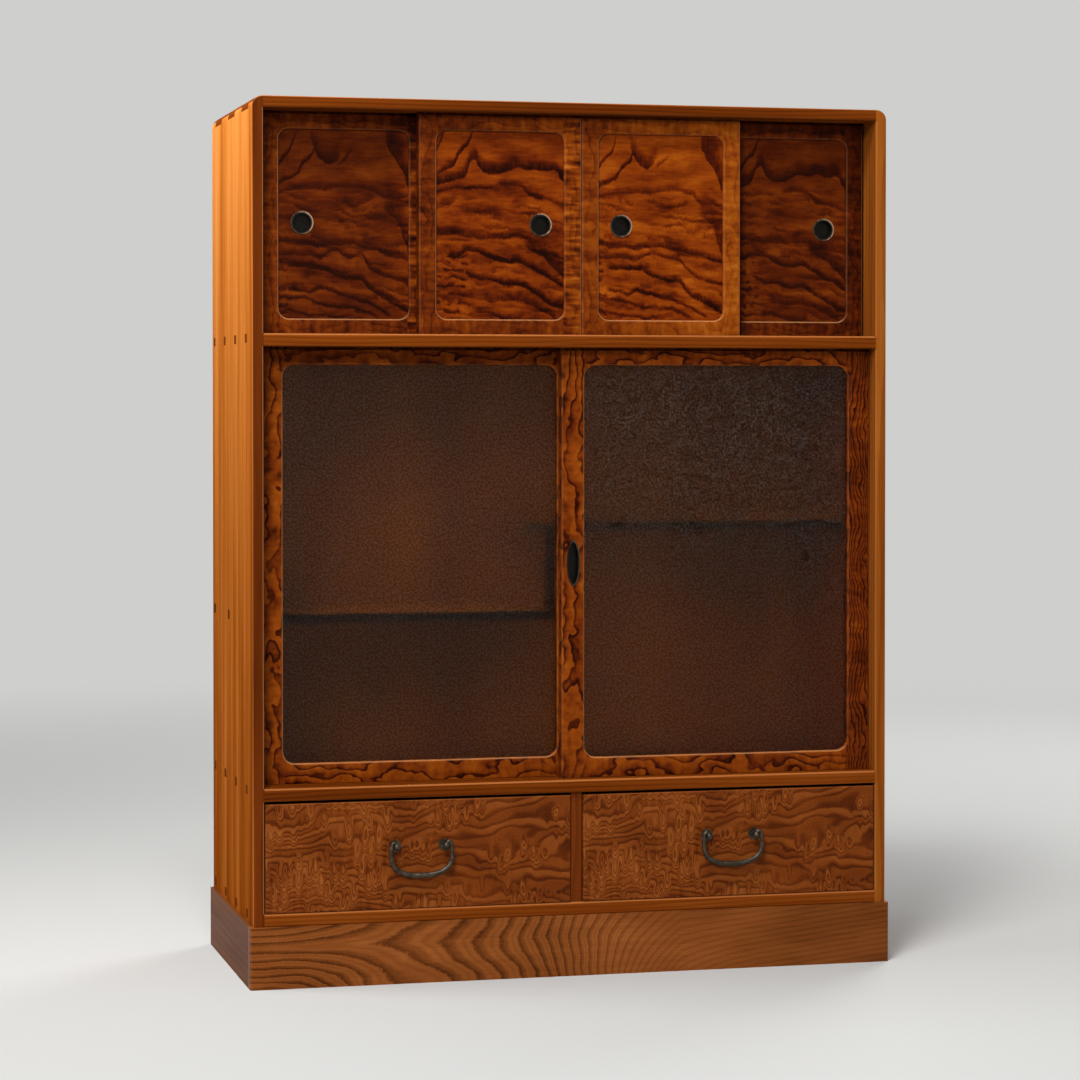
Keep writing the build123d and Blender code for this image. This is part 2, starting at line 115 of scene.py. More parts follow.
# The step shelves' pair is painted shade: near black front and rounded edges for the shade under the shelves
step_edge_shade = ("140a05", "3a1d0c")
plain_trim = ("7a5128", "c79a68")
inner_trim = ("5a3414", "a8713f")
frame_thin_and_highlight = "bf8a5a"
drawer_thin_and_highlight = "9a5a2c"
plinth_thin_and_highlight = "a8713f"

# Width of a growth ring in each straight wood
rail_rings = 0.006
post_rings = 0.008
side_rings = 0.011
plain_rings = 0.012
shelf_rings = 0.014
wide_rings = 0.016

# Lacquer: specular level on each wood, roughness with its spread, and depth of the grain in it
figured_gloss = 0.04
straight_gloss = 0.02
plinth_side_gloss = 0.012
no_gloss = 0.0
lacquer_roughness = 0.34
lacquer_spread = 0.12
lacquer_depth = 0.0002

# Straight grain: waves per metre across, through and along a board, and how far lines stray
fine_pore_waves = (900, 900, 16)
coarse_pore_waves = (260, 260, 5)
wander_waves = (5, 5, 1.6)
wander_width = 0.030
ripple_waves = (30, 30, 7)
ripple_width = 0.004
broad_waves = (16, 16, 1.1)
streak_waves = (70, 70, 2.4)
ring_slant = 0.45
board_step = (0.7, 1.9)

# The outside of the case, a thin skin with paler colours of its own, partly standing in for the light
# on the sides, and painted light that makes it paler towards the top and darker towards the bottom
skin_start = 0.002
skin_full = 0.001
painted_light_height = 0.6
painted_light_per_metre = 0.30
back_board_count = 3

# Lines per metre on a frame, and how strong they are
quiet_lines = (80, 0.3)
bold_lines = (55, 1.0)
dense_lines = 175
even_shade = (0.0, 0.0, 0.0)

# How much paler each upper door's panel and frame are than the rest, and how the frame's shade changes
# for each metre to the right: partly the veneers' own tones and partly painted shade, as on the dark
# right stiles of doors 1 and 4
door_shades = {
    1: (-0.11, -0.16, -0.8),
    2: (-0.08, -0.08, 0.6),
    3: (0.02, 0.09, 1.1),
    4: (-0.05, -0.22, -1.3),
}

# The outer doors stand behind the inner ones, and painted shade darkens their panels from there outwards
outer_doors_start = 0.2
outer_doors_edge = 0.21
outer_doors_deep = 0.26
deep_shade = "260b03"
deep_share = 0.45

# A drawer front's figure: size of a drop, contour lines per metre of height, and the saddle they bend round
drop_width = 0.0125
drop_height = 0.043
drawer_lines = 105
saddle_x = 0.10
saddle_z = 0.07
saddle_bend = 170

# The plinth's figure: height of the arrows' points, how far left of the middle they start, and how far from
# there the arrows and then the arcs reach; ranges of X where arrows turn into slants and where both are steep
arrow_height = 0.054
arrows_left = 0.355
arrows_reach = 0.36
arcs_reach = 0.50
turning = (-0.06, 0.10)
steep_left = (-0.42, -0.24)
steep_right = (-0.02, 0.26)

# Textured glass: grains per metre and how far they stray, ranges of Z and X over which a painted reflection
# thickens, colours between the grains, on them and of painted glints, and refraction
grain_count = 310
grain_stray = 1.2
reflection_rise = (0.30, 0.85)
reflection_right = (-0.05, 0.10)
glint_share = 0.045
glass_tint = "c3a57e"
glass_clear = "f8f1e4"
glint_white = "ffffff"
glass_ior = 1.17
pebble_depth = 0.0011

# Finger pulls: where the rim ends, as shares of the pull's depth and width, and its two bronzes, the paler
# of each both worn metal and a painted highlight
rim_depth = (0.04, 0.09)
rim_radius = (0.40, 0.47)
round_bronze = ("705643", "d0ab8c")
oval_bronze = ("3c3228", "6a5644")

# Forged bails, from the middle of a post outwards and down: across, up and thickness
bail_half = (
    (0.0330, 0.0010, 0.0022),
    (0.0345, 0.0050, 0.0024),
    (0.0380, 0.0060, 0.0025),
    (0.0404, 0.0030, 0.0026),
    (0.0412, -0.0050, 0.0027),
    (0.0416, -0.0140, 0.0028),
    (0.0400, -0.0225, 0.0030),
    (0.0352, -0.0300, 0.0033),
    (0.0265, -0.0352, 0.0036),
    (0.0155, -0.0380, 0.0038),
    (0.0050, -0.0388, 0.0039),
)
bail_roundness = 5
bail_smoothness = 10
cubic_order = 4

# Dark lines of the two veneers, drawn as shares of a panel's width and height, each with the
# height over which it fades upwards and how dark it is
odd_figure = (
    (((0.0, 0.73), (0.03, 0.78), (0.07, 0.83), (0.12, 0.87), (0.15, 0.92), (0.17, 1.0)), 0.035, 0.9),
    (((0.0, 0.68), (0.06, 0.71), (0.13, 0.73), (0.18, 0.76), (0.21, 0.80), (0.27, 0.84),
      (0.32, 0.99)), 0.035, 1.0),
    (((0.27, 0.93), (0.31, 0.85), (0.36, 0.815), (0.42, 0.81), (0.47, 0.85)), 0.11, 0.9),
    (((0.46, 0.80), (0.50, 0.82), (0.53, 0.84), (0.56, 0.87)), 0.03, 0.6),
    (((0.80, 0.98), (0.83, 0.88), (0.88, 0.83), (0.92, 0.78), (0.96, 0.70), (1.0, 0.66)), 0.26, 0.8),
    (((0.0, 0.655), (0.15, 0.67), (0.40, 0.68), (0.60, 0.69), (0.72, 0.67), (0.80, 0.635),
      (1.0, 0.60)), 0.045, 0.55),
    (((0.50, 0.61), (0.57, 0.60), (0.66, 0.61), (0.72, 0.63)), 0.06, 0.5),
    (((0.80, 0.56), (0.88, 0.52), (0.94, 0.42), (1.0, 0.30)), 0.30, 0.55),
    (((0.0, 0.53), (0.12, 0.52), (0.30, 0.53), (0.55, 0.50), (0.75, 0.52), (0.90, 0.49)), 0.05, 0.3),
    (((0.0, 0.40), (0.20, 0.395), (0.32, 0.385), (0.45, 0.40), (0.62, 0.385), (0.85, 0.345),
      (1.0, 0.32)), 0.05, 0.75),
    (((0.0, 0.33), (0.10, 0.345), (0.25, 0.335), (0.34, 0.33), (0.43, 0.365), (0.55, 0.335), (0.63, 0.34),
      (0.68, 0.29), (0.76, 0.25), (0.88, 0.22), (1.0, 0.19)), 0.035, 0.7),
    (((0.10, 0.285), (0.24, 0.28), (0.36, 0.27), (0.45, 0.24), (0.56, 0.222), (0.64, 0.215), (0.70, 0.17),
      (0.78, 0.13), (0.87, 0.10), (1.0, 0.03)), 0.045, 1.0),
    (((0.10, 0.175), (0.20, 0.158), (0.26, 0.15), (0.31, 0.17), (0.38, 0.165), (0.48, 0.14), (0.60, 0.115),
      (0.72, 0.085), (0.85, 0.03)), 0.03, 0.85),
    (((0.0, 0.125), (0.14, 0.125), (0.27, 0.11), (0.32, 0.09), (0.45, 0.085), (0.60, 0.07),
      (0.75, 0.02)), 0.025, 0.7),
    (((0.08, 0.07), (0.20, 0.045), (0.33, 0.03), (0.55, 0.03)), 0.02, 0.6),
)
even_figure = (
    (((0.0, 0.80), (0.03, 0.86), (0.06, 0.91), (0.10, 0.98)), 0.05, 0.7),
    (((0.0, 0.72), (0.05, 0.75), (0.12, 0.785), (0.16, 0.81), (0.20, 0.86), (0.26, 0.90),
      (0.31, 0.99)), 0.04, 1.0),
    (((0.0, 0.695), (0.10, 0.715), (0.19, 0.73), (0.25, 0.755), (0.28, 0.82), (0.31, 0.835), (0.345, 0.80),
      (0.39, 0.77), (0.46, 0.758), (0.53, 0.77), (0.62, 0.795), (0.68, 0.785), (0.75, 0.795), (0.83, 0.78),
      (0.90, 0.785), (0.95, 0.74), (1.0, 0.69)), 0.085, 0.95),
    (((0.0, 0.665), (0.12, 0.675), (0.30, 0.68), (0.45, 0.685)), 0.03, 0.6),
    (((0.06, 0.61), (0.10, 0.60), (0.14, 0.605), (0.18, 0.63)), 0.06, 0.6),
    (((0.48, 0.70), (0.66, 0.69), (0.72, 0.655), (0.80, 0.64), (0.88, 0.62), (1.0, 0.59)), 0.04, 0.55),
    (((0.20, 0.57), (0.36, 0.56), (0.50, 0.575), (0.66, 0.56), (0.82, 0.575)), 0.04, 0.3),
    (((0.0, 0.455), (0.12, 0.45), (0.30, 0.435), (0.45, 0.43), (0.60, 0.44), (0.75, 0.42)), 0.06, 0.65),
    (((0.13, 0.37), (0.17, 0.34), (0.24, 0.365), (0.33, 0.36), (0.40, 0.34), (0.46, 0.32), (0.56, 0.312),
      (0.64, 0.315), (0.72, 0.285), (0.80, 0.255), (0.90, 0.215), (1.0, 0.165)), 0.045, 0.95),
    (((0.68, 0.40), (0.76, 0.365), (0.82, 0.345), (0.87, 0.30), (0.93, 0.265), (1.0, 0.22)), 0.12, 0.75),
    (((0.24, 0.27), (0.33, 0.225), (0.42, 0.225), (0.52, 0.20), (0.60, 0.20), (0.68, 0.185), (0.76, 0.15),
      (0.86, 0.105), (1.0, 0.07)), 0.045, 0.9),
    (((0.38, 0.13), (0.45, 0.115), (0.55, 0.12), (0.68, 0.105), (0.80, 0.07), (0.92, 0.02)), 0.055, 0.7),
    (((0.30, 0.055), (0.40, 0.05), (0.52, 0.03), (0.60, 0.025), (0.68, 0.04)), 0.05, 0.6),
)

# Edges of a drawn line: its foot and where its fade starts, from its middle upwards, and how its ends taper
line_foot = (-0.008, 0.006)
line_crest = 0.004
taper_outside = 0.02
taper_inside = 0.04

# Each veneer: its figure, the seed of its noise, and the share of its width that has short bars
odd_veneer = (odd_figure, 2.0, 0.12)
even_veneer = (even_figure, 5.0, 0.36)


# Node materials


def tone(code):
    """A colour written as six hexadecimal digits, as a linear colour."""
    shares = [int(code[place:place + 2], 16) / 255 for place in (0, 2, 4)]
    linear = [s / 12.92 if s <= 0.04045 else ((s + 0.055) / 1.055) ** 2.4 for s in shares]
    return (*linear, 1.0)


class Term:
    """A socket of a node tree that takes part in sums as a number does."""

    def __init__(self, tree, socket):
        self.tree = tree
        self.socket = socket

    def math(self, operation, *others):
        node = self.tree.nodes.new("ShaderNodeMath")
        node.operation = operation
        for place, value in zip(node.inputs, (self, *others)):
            plug(self.tree, place, value)
        return Term(self.tree, node.outputs[0])

    def __add__(self, other):
        return self.math("ADD", other)

    def __sub__(self, other):
        return self.math("SUBTRACT", other)

    def __mul__(self, other):
        return self.math("MULTIPLY", other)

    def __truediv__(self, other):
        return self.math("DIVIDE", other)

    def __abs__(self):
        return self.math("ABSOLUTE")

    def fract(self):
        return self.math("FRACT")

    def root(self):
        return self.math("SQRT")

    def most(self, other):
        return self.math("MAXIMUM", other)

    def flipped(self):
        """One minus the term."""
        return self.math("MULTIPLY_ADD", -1.0, 1.0)


def plug(tree, place, value):
    """Gives an input a term's socket, or a plain value."""
    if isinstance(value, Term):
        tree.links.new(value.socket, place)
    else:
        place.default_value = value


class Finish:
    """One node material while it is being made."""

    def __init__(self, name):
        self.material = bpy.data.materials.new(name)
        self.material.use_nodes = True
        self.tree = self.material.node_tree
        self.tree.nodes.clear()

    def node(self, kind):
        return self.tree.nodes.new("ShaderNode" + kind)

    def split(self, socket):
        """The three parts of a vector."""
        parts = self.node("SeparateXYZ")
        self.tree.links.new(socket, parts.inputs[0])
        return [Term(self.tree, output) for output in parts.outputs]

    def place(self):
        """The point on the object, in the CAD frame, as three terms in metres."""
        return self.split(self.node("TexCoord").outputs["Object"])

    def share_of_box(self):
        """The point as shares of the object's own box."""
        return self.split(self.node("TexCoord").outputs["Generated"])

    def facing(self):
        """The direction that the surface faces."""
        return self.split(self.node("TexCoord").outputs["Normal"])

    def noise(self, x, y, z, detail=2.0, roughness=0.5):
        """Smooth noise about zero, mostly within a quarter, with one wave to a unit."""
        point = self.node("CombineXYZ")
        for place, value in zip(point.inputs, (x, y, z)):
            plug(self.tree, place, value)
        node = self.node("TexNoise")
        self.tree.links.new(point.outputs[0], node.inputs["Vector"])
        node.inputs["Scale"].default_value = 1.0
        node.inputs["Detail"].default_value = detail
        node.inputs["Roughness"].default_value = roughness
        return Term(self.tree, node.outputs[0]) - 0.5

    def waves(self, place, counts, detail=2.0):
        """Noise with a count of waves per metre in each of three directions."""
        x, y, z = [term * count for term, count in zip(place, counts)]
        return self.noise(x, y, z, detail)

    def even_waves(self, place, count, detail=2.0, roughness=0.5):
        """Noise with the same count of waves per metre in all directions."""
        x, y, z = [term * count for term in place]
        return self.noise(x, y, z, detail, roughness)

    def cells(self, across, up):
        """Distance from the middle of a cell, in a flat field of cells of about one unit."""
        point = self.node("CombineXYZ")
        plug(self.tree, point.inputs[0], across)
        plug(self.tree, point.inputs[1], up)
        node = self.node("TexVoronoi")
        node.voronoi_dimensions = "2D"
        self.tree.links.new(point.outputs[0], node.inputs["Vector"])
        node.inputs["Scale"].default_value = 1.0
        return Term(self.tree, node.outputs["Distance"])

    def curve(self, value, points):
        """A smooth curve through points, read at a value from 0 to 1."""
        node = self.node("FloatCurve")
        line = node.mapping.curves[0]
        line.points[0].location = points[0]
        line.points[1].location = points[-1]
        for point in points[1:-1]:
            line.points.new(*point)
        node.mapping.update()
        plug(self.tree, node.inputs["Value"], value)
        return Term(self.tree, node.outputs[0])

    def rise(self, value, low, high):
        """Zero below low, one above high, smooth between."""
        node = self.node("MapRange")
        node.interpolation_type = "SMOOTHSTEP"
        for place, number in zip(node.inputs, (value, low, high, 0.0, 1.0)):
            plug(self.tree, place, number)
        return Term(self.tree, node.outputs[0])

    def fall(self, value, low, high):
        """One below low, zero above high, smooth between."""
        return self.rise(value, low, high).flipped()

    def inside(self, value, low, high, edge=0.001):
        """One from low to high and zero elsewhere, with narrow edges."""
        return self.rise(value, low, low + edge) * self.fall(value, high, high + edge)

    def ramp(self, value, stops):
        """A colour from stops, each a place from 0 to 1 and a colour code."""
        node = self.node("ValToRGB")
        elements = node.color_ramp.elements
        while len(elements) < len(stops):
            elements.new(0.5)
        for element, (place, code) in zip(elements, stops):
            element.position = place
            element.color = tone(code)
        plug(self.tree, node.inputs[0], value)
        return Term(self.tree, node.outputs[0])

    def mix(self, share, first, second):
        """Two colours mixed by a share, each a term or a colour code."""
        node = self.node("Mix")
        node.data_type = "RGBA"
        for place, value in zip((node.inputs[0], node.inputs[6], node.inputs[7]), (share, first, second)):
            plug(self.tree, place, tone(value) if isinstance(value, str) else value)
        return Term(self.tree, node.outputs[2])

    def bump(self, height, depth):
        """A normal from a height that runs over about one unit, with a depth in metres."""
        node = self.node("Bump")
        node.inputs["Distance"].default_value = depth
        plug(self.tree, node.inputs["Height"], height)
        return Term(self.tree, node.outputs[0])

    def shown(self, shader):
        """Ends the material with a shader."""
        output = self.node("OutputMaterial")
        self.tree.links.new(shader.outputs[0], output.inputs["Surface"])
        return self.material

    def surface(self, **inputs):
        """Ends the material with a Principled shader; underscores in names stand for blanks."""
        shader = self.node("BsdfPrincipled")
        for name, value in inputs.items():
            plug(self.tree, shader.inputs[name.replace("_", " ")], value)
        return self.shown(shader)


# Woods. A level is a place on the wood's scale of colours, and the number beside each layer of a level is
# how far the layer moves it. Numbers of waves and lines are per metre, or per panel on the doors.


def lacquered(finish, colour, height, gloss=figured_gloss):
    """Ends a wood: satin lacquer over the colour, with a little of the grain in its surface."""
    return finish.surface(
        Base_Color=colour,
        Roughness=finish.rise(height, -0.3, 0.3) * lacquer_spread + lacquer_roughness,
        Normal=finish.bump(height, lacquer_depth),
        Specular_IOR_Level=gloss,
    )


def fibres(finish, board):
    """Fine pores drawn out along the grain."""
    fine = finish.waves(board, fine_pore_waves)
    coarse = finish.waves(board, coarse_pore_waves)
    return fine * 0.6 + coarse * 0.6


def dark_line(finish, count, core, fade):
    """One line for each whole number of count: sharp where it starts, and fading over a share of the gap."""
    share = count.fract()
    return finish.rise(share, 0.0, core) * finish.fall(share, core, fade)


def worn_and_highlit_edges(finish, colour, thin_and_highlight_colour, strength):
    """Lightens rounded edges, partly for thin lacquer and partly as a painted highlight that is strongest
    where they face up or to the right.
    """
    right, front, up = finish.facing()
    front = abs(front)
    slant = finish.rise(front, 0.15, 0.4) * finish.fall(front, 0.8, 0.97)
    # painted highlight: stronger on edges that face up or to the right
    highlit_side = finish.rise(right + up, -0.4, 0.5) * 0.8 + 0.2
    return finish.mix(slant * highlit_side * strength, colour, thin_and_highlight_colour)


def shuffled(place, first_edge, width):
    """Moves the grain on from each board to the next along X."""
    x, y, z = place
    number = ((x - first_edge) / width).math("FLOOR")
    return [x, y + number * board_step[0], z + number * board_step[1]]


def outside_colour(finish, colour, level, place, outer_x, stops):
    """Gives faces on the outside of the case paler colours of their own, with painted light that makes them
    paler towards the top.
    """
    x, _, z = place
    outside = finish.rise(abs(x), outer_x - skin_start, outer_x - skin_full)
    outside = outside * finish.rise(abs(finish.facing()[axis_x]), 0.5, 0.8)
    # painted light: paler towards the top and darker towards the bottom
    painted_top_light = level + (z - painted_light_height) * painted_light_per_metre
    return finish.mix(outside, colour, finish.ramp(painted_top_light, stops))


def straight_wood(name, axis, stops, rings, trim, outer=None, gloss=straight_gloss, boards=None):
    """Straight grain along one axis. Faces across the grain show dark ends.

    Where outer gives a place along X and stops, faces of the cabinet's outside have those colours, paler
    towards the top by painted light.
    Where boards gives a first place along X and a width, each board has grain of its own.
    """
    finish = Finish(name)
    place = finish.place()
    if boards:
        place = shuffled(place, *boards)
    end_colour, thin_and_highlight_colour = trim
    first, second = [term for number, term in enumerate(place) if number != axis]
    board = (first, second, place[axis])
    wander = finish.waves(board, wander_waves) * wander_width
    ripple = finish.waves(board, ripple_waves) * ripple_width
    late = dark_line(finish, (first * ring_slant + second + wander + ripple) / rings, 0.08, 0.6)
    pores = fibres(finish, board)
    broad = finish.waves(board, broad_waves, 3.0)
    streaks = finish.waves(board, streak_waves)
    level = broad * 0.9 + streaks * 0.35 - late * 0.16 + pores * 0.3 + 0.55
    colour = finish.ramp(level, stops)
    if outer:
        colour = outside_colour(finish, colour, level, place, *outer)
    # pale edges: thin lacquer and a painted highlight
    colour = worn_and_highlit_edges(finish, colour, thin_and_highlight_colour, 0.6)
    ends = finish.rise(abs(finish.facing()[axis]), 0.7, 0.95)
    colour = finish.mix(ends, colour, end_colour)
    return lacquered(finish, colour, pores - late * 0.3, gloss)


def drawn_line(finish, across, up, line):
    """Darkness of one drawn line: sharp on its lower side, and fading upwards."""
    points, fade, strength = line
    above = up - finish.curve(across, points)
    dark = finish.rise(above, *line_foot) * finish.fall(above, line_crest, fade) * strength
    first = points[0][0]
    last = points[-1][0]
    if first > 0:
        dark = dark * finish.rise(across, first - taper_outside, first + taper_inside)
    if last < 1:
        dark = dark * finish.fall(across, last - taper_inside, last + taper_outside)
    return dark


def drawn_figure(finish, across, up, figure):
    """Darkness of all the lines of a figure."""
    dark, *others = [drawn_line(finish, across, up, line) for line in figure]
    for other in others:
        dark = dark.most(other)
    return dark


def panel_wood(name, veneer, shade):
    """A door panel's wild figure: bold drawn lines, short bars at the lower left, and streaks between."""
    figure, seed, bars = veneer
    finish = Finish(name)
    x, _, z = finish.place()
    across, _, up = finish.share_of_box()

    def layer(x_waves, z_waves, offset=0, detail=2.0):
        """Noise of this veneer's own."""
        return finish.noise(x * x_waves, z * z_waves, seed + offset, detail)

    fuzz = layer(260, 90)
    across = across + layer(42, 42) * 0.05
    up = up + layer(46, 46, 5) * 0.045 + fuzz * 0.012
    corner = finish.fall(across, bars * 0.6, bars) * finish.fall(up, 0.30, 0.44)
    rows = dark_line(finish, up * 24 + layer(22, 8) * 2.4, 0.25, 0.85)
    gaps = finish.rise(layer(75, 62, 3, 1.0), -0.06, 0.06)
    bold = drawn_figure(finish, across, up, figure).most(rows * gaps * corner * 0.8)
    flecks = layer(420, 60)
    grain = layer(60, 320, 0, 3.0)
    drift = layer(15, 44, 5, 3.0)
    sway = layer(26, 44, 9)
    ripples = dark_line(finish, up * 17 + across * 1.5 + sway * 2.6 + fuzz * 0.4, 0.25, 0.9)
    ripples = ripples * finish.rise(layer(26, 30, 1, 1.0), -0.16, 0.12)
    ripples = ripples * finish.fall(up, 0.62, 0.78)
    level = drift + grain * 0.32 + flecks * 0.12 - bold * (flecks * 0.9 + 0.56) - ripples * 0.26 + 0.68
    # shade: the door's own tone, partly painted shade
    level = level + corner * 0.10 + shade
    colour = finish.ramp(level, panel_tones)
    # painted shade on the panels of the outer doors
    behind = finish.rise(abs(x), outer_doors_start, outer_doors_edge)
    behind = behind * finish.rise(abs(x), outer_doors_start, outer_doors_deep)
    colour = finish.mix(behind * deep_share, colour, deep_shade)
    return lacquered(finish, colour, grain - bold * 0.3)


def frame_wood(name, axis, lining, shade, bands=None, dense=None):
    """A frame's veneer: dark lines that wander along X or Z and bend round eyes, with ripples across.

    lining gives the lines per metre and their strength. shade gives how much paler the wood is, and from
    which place along X it changes by how much for each metre, partly the veneer's own tone and partly
    painted shade. Where bands gives a range of X, strong cross bands lie there. Where dense gives a range of
    X, the lines there are close and nearly straight.
    """
    line_count, strength = lining
    paler, middle, lean = shade
    finish = Finish(name)
    place = finish.place()
    x, y, z = place
    along, across = (z, x) if axis == axis_z else (x, z)
    board = (across, y, along)
    wander = finish.waves(board, (22, 22, 12))
    kinks = finish.waves(board, (75, 75, 55), 1.0)
    count = across * line_count + wander * 5 + kinks * 1.1
    if dense:
        close = finish.inside(x, *dense)
        many = across * dense_lines + wander * 8 + kinks * 1.5
        count = count * close.flipped() + many * close
    fading = finish.rise(finish.even_waves(place, 19, 1.0), -0.16, 0.08) * 0.8 + 0.2
    bold = dark_line(finish, count, 0.09, 0.34) * fading
    soft = dark_line(finish, count, 0.10, 0.85)
    ripple = finish.waves(board, (26, 26, 105))
    drift = finish.even_waves(place, 14)
    spots = finish.even_waves(place, 170, 3.0)
    dark = (bold * 0.36 + soft * 0.22) * strength
    level = drift * 0.5 + spots * 0.35 + ripple * (0.75 - strength * 0.3) - dark + 0.56 + strength * 0.08
    # partly the veneer's own tone and partly painted shade
    level = level + (x - middle) * lean + paler
    if bands:
        level = level + finish.inside(x, *bands) * finish.waves(place, (20, 20, 120)) * 1.8
    if dense:
        level = level - close * 0.16
    colour = finish.ramp(level, frame_tones)
    # pale edges: thin lacquer and a painted highlight
    colour = worn_and_highlit_edges(finish, colour, frame_thin_and_highlight, 0.45)
    return lacquered(finish, colour, spots - bold * 0.4)


def drawer_wood(name, node):
    """A drawer front's dense figure: contour lines of a slope with tall drops and round eyes on it."""
    low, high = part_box(node)
    finish = Finish(name)
    x, y, z = finish.place()
    x = x - low.x
    z = z - low.z
    place = (x, y, z)
    across = x / (high.x - low.x)
    swirl = finish.even_waves(place, 34)
    slope = z * drawer_lines - (x - saddle_x) * (z - saddle_z) * saddle_bend
    hills = finish.waves(place, (9, 9, 13)) * 5.0 + finish.waves(place, (20, 20, 28), 1.0) * 3.0
    drop = finish.cells(x / drop_width + swirl * 0.7, z / drop_height + swirl * 0.4)
    flock = finish.noise(x * 15, y * 15, z * 19 + 3, 1.0) * 1.6 - across * 0.45
    dropped = finish.rise(flock, -0.45, -0.08)
    bumps = finish.fall(drop, 0.05, 0.55) * dropped
    count = slope + hills + bumps * 2.1
    line = dark_line(finish, count, 0.18, 0.62)
    soft = dark_line(finish, count * 0.5, 0.25, 0.95)
    drips = finish.waves(place, (150, 150, 22)) * dropped
    drift = finish.waves(place, (12, 12, 16), 3.0)
    pores = finish.even_waves(place, 420)
    strong = finish.rise(finish.noise(x * 16, y * 16, z * 22 + 7, 1.0), -0.25, 0.10) * 0.5 + 0.5
    level = drift * 0.8 + pores * 0.35 + drips * 0.55 - line * strong * 0.40 - soft * 0.14
    level = level + bumps * 0.12 + 0.71
    colour = finish.ramp(level, drawer_tones)
    # pale edges: thin lacquer and a painted highlight
    colour = worn_and_highlit_edges(finish, colour, drawer_thin_and_highlight, 0.4)
    return lacquered(finish, colour, pores - line * 0.5)


def plinth_field(finish, x, z, warp):
    """Contours of the plinth's figure: arrows at the left that open into arcs, and slants at the right."""
    height = z - arrow_height + warp * 0.010
    leaning = finish.rise(x, *turning)
    arm = (height * height + 0.00001).root()
    arm = arm * leaning.flipped() + height * leaning
    steep = finish.fall(x, *steep_left) * 90 + finish.rise(x, *steep_right) * 115 + 22
    spread = (x + arrows_left).math("SMOOTH_MAX", 0.0, 0.06)
    arrows = spread.math("MINIMUM", arrows_reach)
    arcs = spread.math("MINIMUM", arcs_reach) - arrows
    slants = spread - arrows - arcs
    return arrows * arrows * arrows * 200 + arcs * 66 + slants * 16 - arm * steep + warp * 1.1 + 0.12


def plinth_wood(name):
    """The plinth's front: bold arrows and arcs, with thinner lines between them."""
    finish = Finish(name)
    place = finish.place()
    x, y, z = place
    warp = finish.waves(place, (9, 9, 26))
    field = plinth_field(finish, x, z, warp)
    flecks = finish.even_waves(place, 300)
    bold = dark_line(finish, field + flecks * 0.3, 0.18, 0.55)
    thin = dark_line(finish, field * 3 + flecks * 0.3, 0.25, 0.8)
    faint = finish.fall(x, -0.08, 0.16) * 0.66 + 0.34
    pores = fibres(finish, (z, y, x))
    drift = finish.waves(place, (7, 7, 20))
    dull = finish.rise(x, 0.05, 0.40) * 0.17
    level = drift * 0.6 + pores * 0.28 - bold * faint * 0.38 - thin * 0.10 - dull + 0.68
    colour = finish.ramp(level, plinth_tones)
    # pale edges: thin lacquer and a painted highlight
    colour = worn_and_highlit_edges(finish, colour, plinth_thin_and_highlight, 0.45)
    return lacquered(finish, colour, pores - bold * 0.4)


# Glass and metal


def textured_glass():
    """Fine textured glass that blurs what stands behind it, with painted glints on its grains under a painted
    reflection that thickens upwards and to the right.
    """
    finish = Finish("textured_glass")
    place = finish.place()
    x, _, z = place
    pebbles = finish.even_waves(place, 250, 1.0, 0.6)
    stray = finish.even_waves(place, 190, 1.0) * grain_stray
    grains = finish.cells(x * grain_count + stray, z * grain_count - stray)
    clear = finish.fall(grains, 0.20, 0.50)
    uneven = finish.rise(finish.even_waves(place, 150, 1.0), -0.16, 0.20)
    # painted reflection, thicker towards the top and the right
    painted_reflection = finish.rise(z, *reflection_rise) * (finish.rise(x, *reflection_right) * 0.25 + 0.35) + 0.3
    # painted glints: white specks on the grains
    painted_glints = clear * uneven * painted_reflection
    colour = finish.mix(clear, glass_tint, glass_clear)
    colour = finish.mix(painted_glints * 0.7, colour, glint_white)
    return finish.surface(
        Base_Color=colour,
        Roughness=clear * 0.1 + 0.32,
        Normal=finish.bump(pebbles, pebble_depth),
        IOR=glass_ior,
        Transmission_Weight=painted_glints * -glint_share + 1.0,
    )


def bronze(name, worn, rubbed_and_highlight):
    """Finger pulls: a worn rim with a painted highlight, paler towards its edge and its right, and a dark cup
    behind it.
    """
    finish = Finish(name)
    across, depth, up = finish.share_of_box()
    radius = ((across - 0.5) * (across - 0.5) + (up - 0.5) * (up - 0.5)).root()
    patina = finish.even_waves(finish.place(), 240, 3.0)
    rim = finish.fall(depth, *rim_depth) * finish.rise(radius, *rim_radius)
    # painted highlight on the rim, stronger towards the right and the top
    highlit_side = finish.rise(across + up * 0.3 + patina * 0.8, 0.35, 1.05)
    level = patina * 0.3 + rim * (highlit_side * 0.40 + 0.22) + 0.2
    colour = finish.ramp(level, ((0.0, "0c0b09"), (0.3, "1b1914"), (0.6, worn), (0.95, rubbed_and_highlight)))
    return finish.surface(
        Base_Color=colour,
        Metallic=0.85,
        Roughness=patina * 0.3 + 0.34,
        Normal=finish.bump(patina, 0.0001),
    )


def iron():
    """Forged handles: dark patina that is worn to grey on its high spots."""
    finish = Finish("forged_iron")
    place = finish.place()
    hammered = finish.even_waves(place, 190)
    grain = finish.even_waves(place, 900)
    level = hammered * 0.8 + grain * 0.4 + 0.5
    colour = finish.ramp(level, ((0.1, "1c1712"), (0.5, "3c342a"), (0.75, "635744"), (1.0, "8c7e64")))
    return finish.surface(
        Base_Color=colour,
        Metallic=0.75,
        Roughness=hammered * 0.3 + 0.42,
        Normal=finish.bump(hammered + grain * 0.3, 0.0006),
    )


# Which piece has which finish


